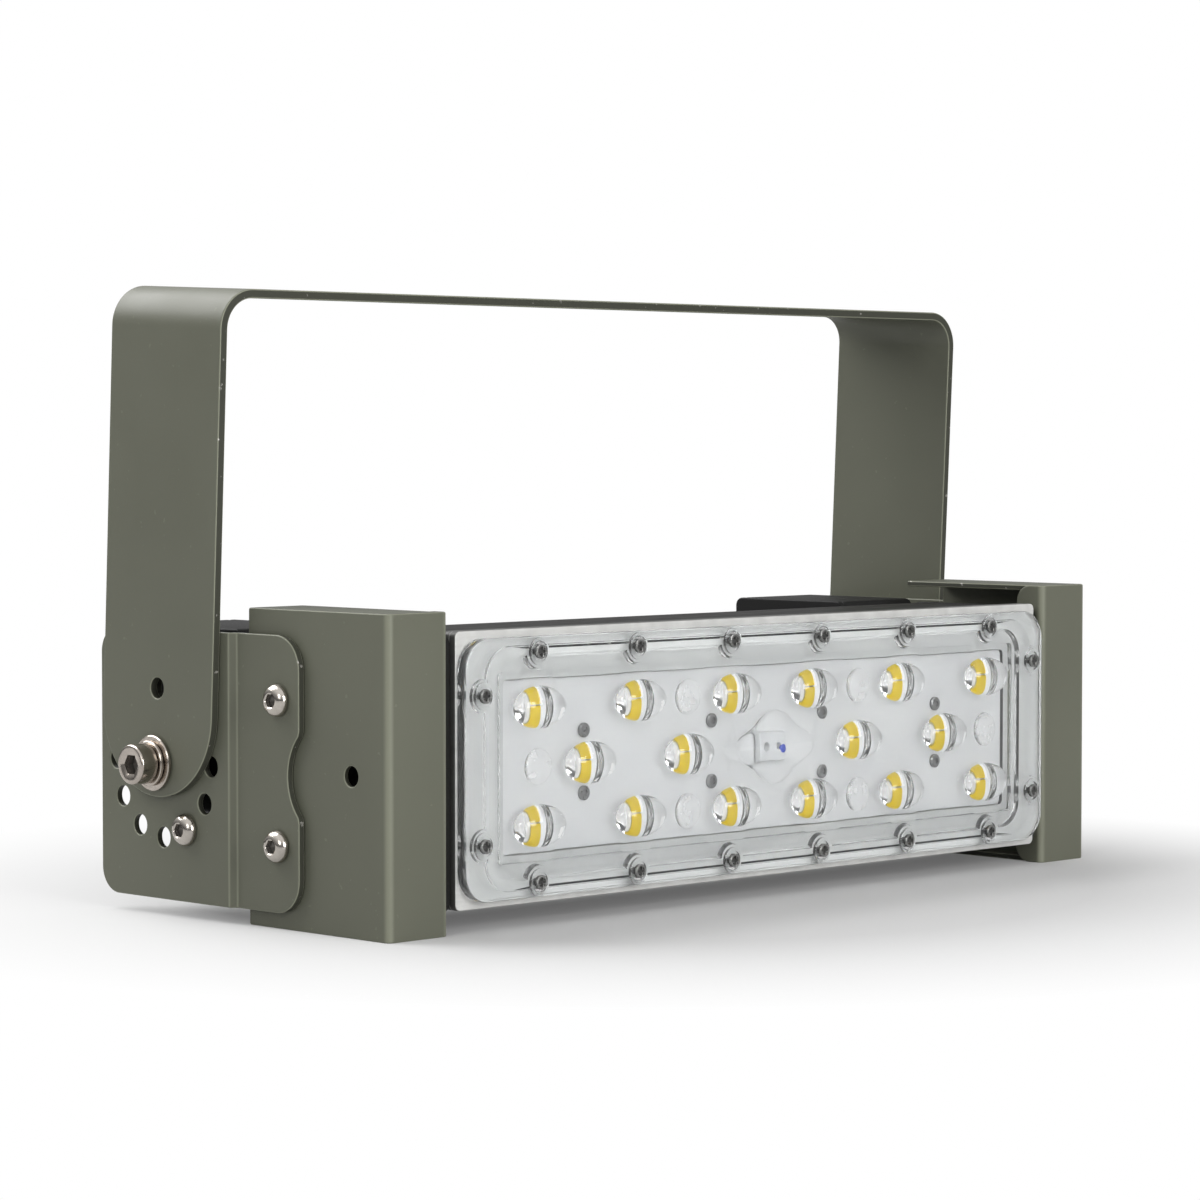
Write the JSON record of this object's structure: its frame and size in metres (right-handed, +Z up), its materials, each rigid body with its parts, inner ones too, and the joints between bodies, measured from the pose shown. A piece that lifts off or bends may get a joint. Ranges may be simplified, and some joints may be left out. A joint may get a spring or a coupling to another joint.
{
  "type": "LED flood light",
  "caption": "Olive-grey LED flood light: clear lens cover over a white LED board, black finned heat sink, folded end brackets, and a U yoke tilting on side plates with index holes.",
  "frame": {"origin": "middle of the bounding box, on the floor that the end brackets stand on", "axes": "+X along the lamp to its right end, -Y the way the light goes, +Z up"},
  "size_m": [0.3786, 0.145, 0.2045],
  "materials": {
    "olive_paint": "satin olive-grey paint, chipped to bare metal at a few edges",
    "steel": "stainless, semi-bright",
    "black_anodised": "black anodised, satin",
    "bare_aluminium": "bare, fine milled",
    "clear_plastic": "clear moulded, glossy",
    "white_board": "white solder mask",
    "green_board": "green solder mask",
    "black_plastic": "fine moulded grain",
    "grey_rubber": "matte"
  },
  "bodies": {
    "head": {"bracket_screw_left_lower": "steel", "bracket_screw_left_upper": "steel", "bracket_screw_right_lower": "steel", "bracket_screw_right_upper": "steel", "cable_gland": "black_plastic", "driver_board_left": "green_board", "driver_board_right": "green_board", "driver_box_left": "black_plastic", "driver_box_lid_left": "black_plastic", "driver_box_lid_right": "black_plastic", "driver_box_right": "black_plastic", "end_bracket_left": "olive_paint", "end_bracket_right": "olive_paint", "gland_seal": "grey_rubber", "heat_sink": "black_anodised", "led_board": "white_board", "lens_cover": "clear_plastic", "lens_cover_screw_left_lower": "steel", "lens_cover_screw_left_upper": "steel", "lens_cover_screw_lower_1": "steel", "lens_cover_screw_lower_2": "steel", "lens_cover_screw_lower_3": "steel", "lens_cover_screw_lower_4": "steel", "lens_cover_screw_lower_5": "steel", "lens_cover_screw_lower_6": "steel", "lens_cover_screw_right_lower": "steel", "lens_cover_screw_right_upper": "steel", "lens_cover_screw_upper_1": "steel", "lens_cover_screw_upper_2": "steel", "lens_cover_screw_upper_3": "steel", "lens_cover_screw_upper_4": "steel", "lens_cover_screw_upper_5": "steel", "lens_cover_screw_upper_6": "steel", "lens_gasket": "grey_rubber", "lock_nut_left": "steel", "lock_nut_right": "steel", "lock_screw_left": "steel", "lock_screw_right": "steel", "module_plate": "bare_aluminium", "pivot_nut_left": "steel", "pivot_nut_right": "steel", "pivot_screw_left": "steel", "pivot_screw_right": "steel", "pivot_spring_washer_left": "steel", "pivot_spring_washer_right": "steel", "pivot_washer_left": "steel", "pivot_washer_right": "steel", "side_plate_left": "olive_paint", "side_plate_nut_left_lower": "steel", "side_plate_nut_left_upper": "steel", "side_plate_nut_right_lower": "steel", "side_plate_nut_right_upper": "steel", "side_plate_right": "olive_paint", "side_plate_screw_left_lower": "steel", "side_plate_screw_left_upper": "steel", "side_plate_screw_right_lower": "steel", "side_plate_screw_right_upper": "steel", "sink_end_plate_left": "black_anodised", "sink_end_plate_right": "black_anodised"},
    "yoke": {"yoke": "olive_paint"}
  },
  "joints": [
    {"name": "yoke_tilt", "type": "hinge", "parent": "head", "child": "yoke", "pos_m": [0, 0.0401, 0.0498], "axis": [1, 0, 0], "range_deg": [-90, 28]}
  ]
}
